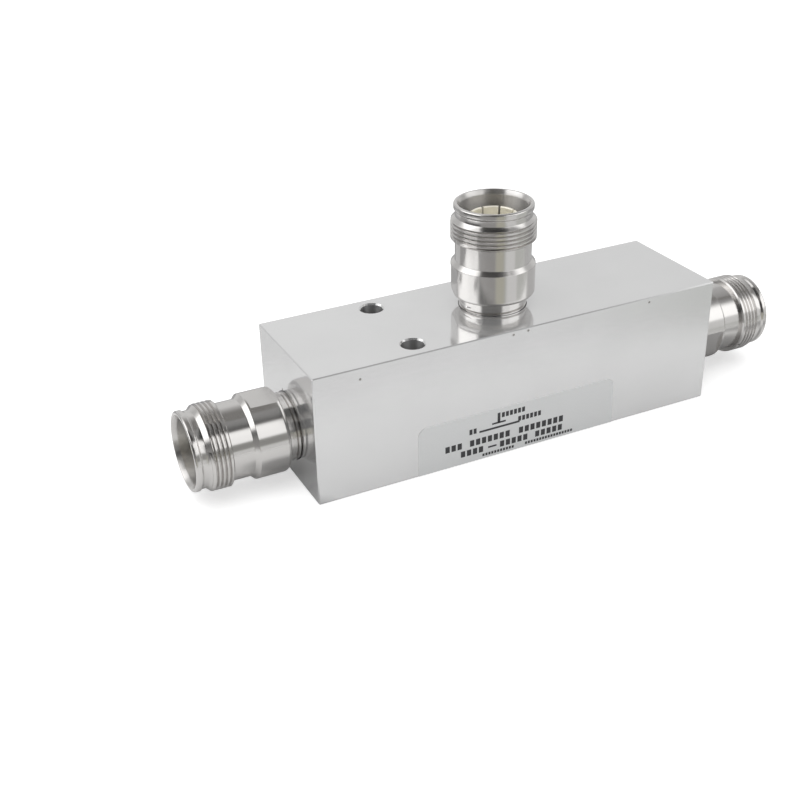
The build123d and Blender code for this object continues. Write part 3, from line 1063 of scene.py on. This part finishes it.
# Cards that polished metal mirrors, each over those before it: left and right edge in degrees from
# the front towards the right, lower and upper edge as sines of the elevation, and colour
CARDS = {
    "room": (-150, 140, NADIR, SKYLINE, grey(0.40)),
    "corner": (140, 185, NADIR, -0.1, grey(0.42)),
    "behind": (-185, -150, NADIR, SKYLINE, grey(0.72)),
    "behind_top": (-185, -148, -0.36, -0.1, (0.4, 0.4, 0.41, 1)),
    "wall_foot": (95, 185, -0.1, SKYLINE, grey(0.72)),
    "behind_left": (-185, -142, 0.2, 0.56, grey(0.62)),
    "behind_right": (172, 185, 0.2, 0.56, grey(0.64)),
    "dark_gap": (-66, -22, NADIR, SKYLINE, (0.35, 0.345, 0.34, 1)),
    "olive_board": (-22, 3, NADIR, 0.1, (0.50, 0.49, 0.42, 1)),
    "table_edge": (3, 77, NADIR, SKYLINE, (0.58, 0.59, 0.57, 1)),
    "table_front": (8, 38, NADIR, -0.1, grey(0.76)),
    "table_shade": (3, 32, -0.08, 0.2, (0.32, 0.32, 0.31, 1)),
    "table_glare": (32, 60, -0.08, SKYLINE, grey(0.85)),
    "softbox_core": (30, 70, SKYLINE, 0.68, grey(1.5)),
    "softbox_top": (30, 76, 0.7, ZENITH, grey(0.33)),
    "right_wall": (76, 135, SKYLINE, 0.58, grey(0.62)),
    "right_top": (90, 150, 0.58, 0.8, grey(0.50)),
    "left_top": (-175, -85, 0.8, ZENITH, grey(1.15)),
    "side_softbox": (-134, -73, 0.18, 0.77, grey(1.9)),
    "side_gap": (-122, -68, -0.3, 0.18, grey(0.06)),
    "gap_top": (-98, -68, 0.14, 0.3, grey(0.1)),
    "camera": (-66, 4, SKYLINE, 0.58, grey(0.07)),
    "camera_stand": (-34, -6, 0.08, 0.6, grey(0.06)),
    "camera_arm": (-85, 30, 0.8, ZENITH, grey(0.03)),
}


def card_mask(tree, azimuth, height, edges):
    """One on a card, fading out over its four edges."""
    left, right, low, high = edges
    bands = []
    for value, start, end, soft in ((azimuth, radians(left), radians(right), radians(5)),
                                    (height, low, high, 0.04)):
        rises, falls = (add_node(tree, "ShaderNodeMapRange", {
            "Value": value, "From Min": edge - soft, "From Max": edge + soft},
            interpolation_type="SMOOTHSTEP").outputs["Result"] for edge in (start, end))
        bands.append(add_node(tree, "ShaderNodeMath", {0: rises, 1: falls},
                              operation="SUBTRACT").outputs["Value"])
    return add_node(tree, "ShaderNodeMath", {0: bands[0], 1: bands[1]},
                    operation="MULTIPLY").outputs["Value"]


def past_plane(tree, where, normal, low, high):
    """Goes softly from zero to one as a direction crosses a plane."""
    dot = add_node(tree, "ShaderNodeVectorMath", {0: where, 1: normal}, operation="DOT_PRODUCT")
    return add_node(tree, "ShaderNodeMapRange", {
        "Value": dot.outputs["Value"], "From Min": low, "From Max": high},
        interpolation_type="SMOOTHSTEP").outputs["Result"]


def stage_world():
    """White behind the object, an even room for matt surfaces, and cards that metal mirrors."""
    s = settings("stage")
    # Beyond each plane, metal mirrors the ceiling, the wall behind, or the sheet on the left
    ceiling_plane, back_plane, wing_plane = (
        (-0.47, 0.707, 0.707), (0.0, 0.545, -0.839), (-0.862, 0.508, 0.0))
    ceiling = (s.ceiling, s.ceiling * 0.97, s.ceiling * 0.94, 1)
    right_share = 0.9                # of the wall's light, on its right half
    level_light, top_light = 0.35, 0.95     # on matt surfaces, from the side and added from above
    world = bpy.data.worlds.new("studio")
    bpy.context.scene.world = world
    tree = emptied_tree(world)
    path = add_node(tree, "ShaderNodeLightPath")
    where = add_node(tree, "ShaderNodeTexCoord").outputs["Generated"]
    x, y, z = add_node(tree, "ShaderNodeSeparateXYZ", {"Vector": where}).outputs
    front = add_node(tree, "ShaderNodeMath", {0: y, 1: -1.0}, operation="MULTIPLY")
    azimuth = add_node(tree, "ShaderNodeMath", {0: x, 1: front.outputs["Value"]},
                       operation="ARCTAN2").outputs["Value"]
    on_right = past_plane(tree, where, (1, 0, 0), 0.25, 0.65)
    wall = add_node(tree, "ShaderNodeMix", {
        "Factor": on_right, "A": grey(s.back), "B": grey(s.back * right_share)},
        data_type="RGBA").outputs["Result"]
    layers = [(past_plane(tree, where, ceiling_plane, -0.05, 0.05), ceiling),
              (past_plane(tree, where, back_plane, -0.6, 0.0), wall),
              (past_plane(tree, where, wing_plane, 0.35, 0.65), grey(s.wing))]
    layers += [(card_mask(tree, azimuth, z, edges), shade) for *edges, shade in CARDS.values()]
    seen_by_metal = grey(s.softbox)
    for mask, shade in layers:
        seen_by_metal = add_node(tree, "ShaderNodeMix", {
            "Factor": mask, "A": seen_by_metal, "B": shade}, data_type="RGBA").outputs["Result"]
    for_metal = add_node(tree, "ShaderNodeBackground", {"Color": seen_by_metal, "Strength": 1.0})
    overhead = add_node(tree, "ShaderNodeMath", {
        0: z, 1: s.room * top_light, 2: s.room * level_light}, operation="MULTIPLY_ADD")
    room = add_node(tree, "ShaderNodeBackground", {
        "Color": grey(1), "Strength": overhead.outputs["Value"]})
    white = add_node(tree, "ShaderNodeBackground", {"Color": grey(1), "Strength": 1.0})
    unseen = add_node(tree, "ShaderNodeMixShader", {
        0: path.outputs["Is Glossy Ray"], 1: room.outputs[0], 2: for_metal.outputs[0]})
    seen = add_node(tree, "ShaderNodeMixShader", {
        0: path.outputs["Is Camera Ray"], 1: unseen.outputs[0], 2: white.outputs[0]})
    add_node(tree, "ShaderNodeOutputWorld", {"Surface": seen.outputs[0]})


def stage_lamp():
    """A large soft lamp high on the left, which gives matt surfaces their shape."""
    middle = Vector((0, 0, 0.02))
    width, power = 0.7, 2.6          # metres and watts
    deselect()
    bpy.ops.object.light_add(type="AREA", location=(-0.4, -0.3, 0.8))
    lamp = bpy.context.object
    lamp.name = "stage_lamp"
    lamp.data.shape = "SQUARE"
    lamp.data.size = width
    lamp.data.energy = power
    lamp.visible_glossy = False
    lamp.rotation_euler = (middle - lamp.location).to_track_quat("-Z", "Y").to_euler()


class TAPPER_PT_panel(bpy.types.Panel):
    """Lists the tapper's pieces and their sizes"""
    bl_label = "Tapper"
    bl_idname = "TAPPER_PT_panel"
    bl_space_type = "VIEW_3D"
    bl_region_type = "UI"
    bl_category = "Tapper"

    def draw(self, context):
        for operator in OPERATORS:
            self.layout.operator(operator.bl_idname)
        for group, kind in GROUPS.items():
            box = self.layout.box()
            box.label(text=group.title())
            for name in kind.__annotations__:
                box.prop(settings(group), name)


GROUPS = {"ports": TapperPorts, "shell": TapperShell, "contacts": TapperContacts,
          "label": TapperLabel, "finish": TapperFinish, "stage": TapperStage}
OPERATORS = (TAPPER_OT_stage, TAPPER_OT_bar, TAPPER_OT_inside, TAPPER_OT_shells,
             TAPPER_OT_contacts, TAPPER_OT_label)


def register():
    for kind in (*GROUPS.values(), *OPERATORS, TAPPER_PT_panel):
        bpy.utils.register_class(kind)
    for group, kind in GROUPS.items():
        setattr(bpy.types.Scene, GROUP + group, bpy.props.PointerProperty(type=kind))


def unregister():
    for group in GROUPS:
        delattr(bpy.types.Scene, GROUP + group)
    for kind in (TAPPER_PT_panel, *OPERATORS, *GROUPS.values()):
        bpy.utils.unregister_class(kind)


def main():
    """Makes the stage and every piece."""
    register()
    bpy.ops.tapper.stage()
    bpy.ops.tapper.bar()
    bpy.ops.tapper.inside()
    bpy.ops.tapper.shells()
    bpy.ops.tapper.contacts()
    bpy.ops.tapper.label()


if __name__ == "__main__":
    main()
